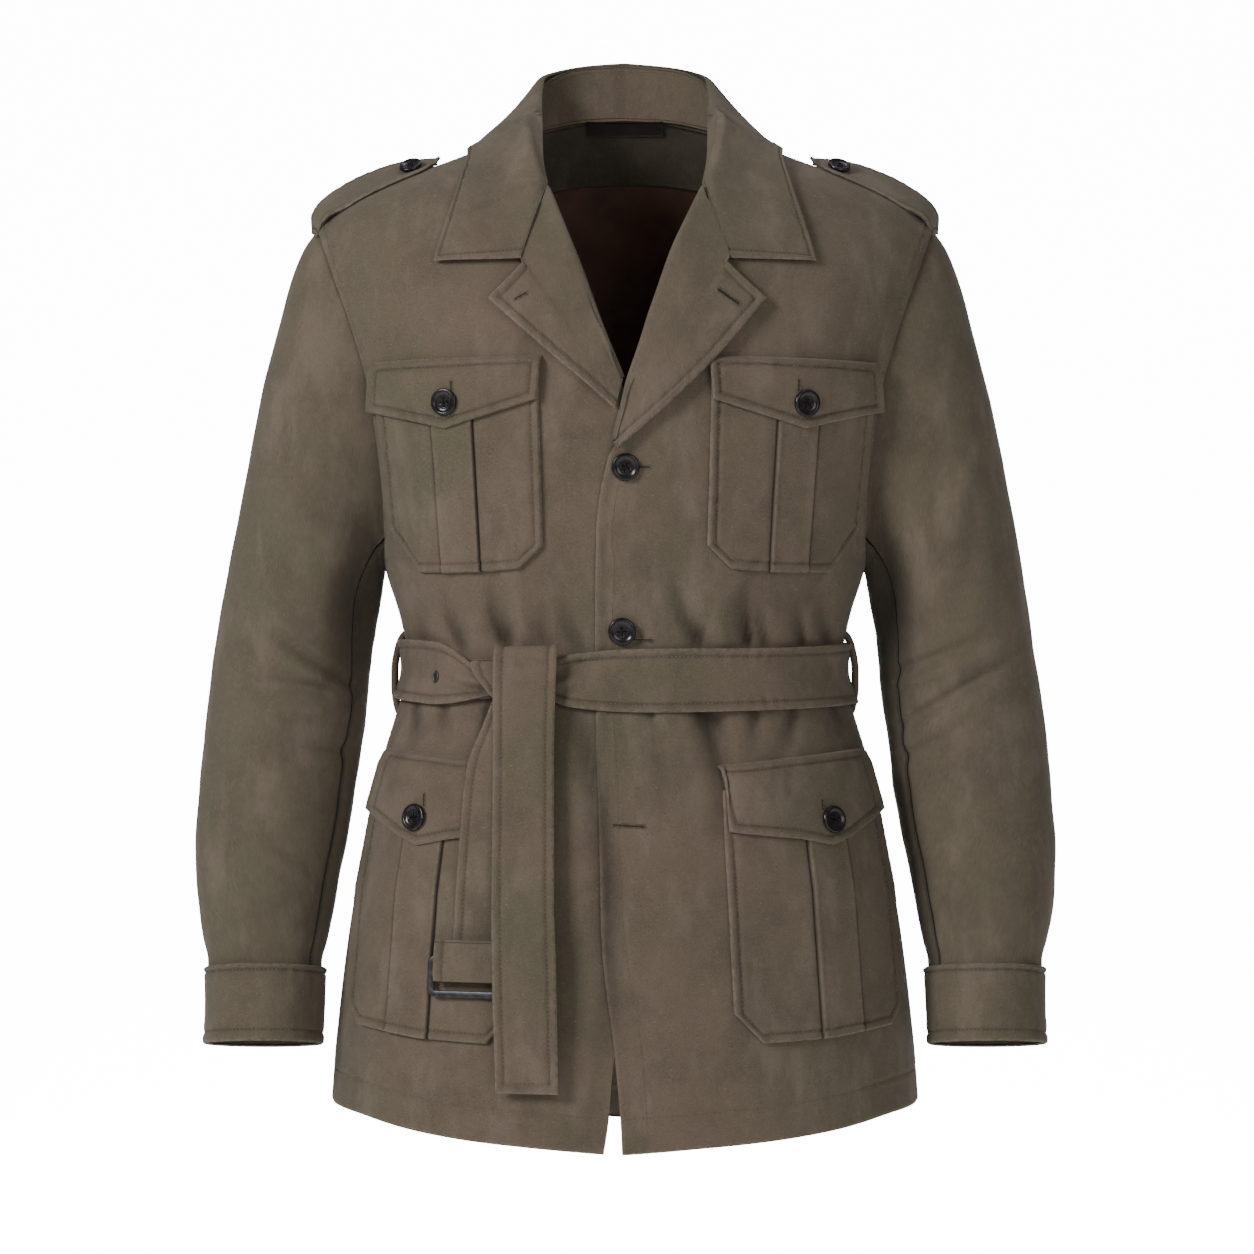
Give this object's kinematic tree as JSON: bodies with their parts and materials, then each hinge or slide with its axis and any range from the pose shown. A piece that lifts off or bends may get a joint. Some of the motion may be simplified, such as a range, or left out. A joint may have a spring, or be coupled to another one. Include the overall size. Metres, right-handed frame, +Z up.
{
  "type": "safari jacket",
  "caption": "Hollow cloth jacket as worn, with open lapels, shoulder straps, flapped pleated pockets and a knotted belt with a hanging buckle end.",
  "frame": {"origin": "middle of the neck opening, level with the neck ends of the shoulder seams", "axes": "+Z up towards the collar, -Y towards the front of the jacket, +X towards the wearer's left"},
  "size_m": [0.6496, 0.2786, 0.8261],
  "materials": {
    "cotton": "matte olive-brown woven cotton",
    "lining": "dark smooth lining",
    "label": "dark woven tape, bare",
    "horn": "dark brown, polished",
    "buckle": "dark grey satin"
  },
  "bodies": {
    "root": {"front_left": "cotton", "front_right": "cotton", "back_left": "cotton", "back_right": "cotton", "sleeve_left_top": "cotton", "sleeve_left_under": "cotton", "sleeve_right_top": "cotton", "sleeve_right_under": "cotton", "cuff_left": "cotton", "cuff_right": "cotton", "collar_stand": "cotton", "collar_leaf": "cotton", "lapel_left": "cotton", "lapel_right": "cotton", "neck_facing": "cotton", "epaulette_left": "cotton", "epaulette_right": "cotton", "chest_pocket_left": "cotton", "chest_pocket_right": "cotton", "chest_flap_left": "cotton", "chest_flap_right": "cotton", "hip_pocket_left": "cotton", "hip_pocket_right": "cotton", "hip_flap_left": "cotton", "hip_flap_right": "cotton", "belt_loop_left": "cotton", "belt_loop_right": "cotton", "belt_band": "cotton", "belt_knot": "cotton", "belt_tail": "cotton", "belt_buckle_tail": "cotton", "belt_keeper": "cotton", "back_lining": "lining", "neck_label": "label", "button_front_upper": "horn", "button_front_waist": "horn", "button_chest_left": "horn", "button_chest_right": "horn", "button_hip_left": "horn", "button_hip_right": "horn", "button_epaulette_left": "horn", "button_epaulette_right": "horn", "belt_buckle": "buckle"}
  },
  "joints": []
}
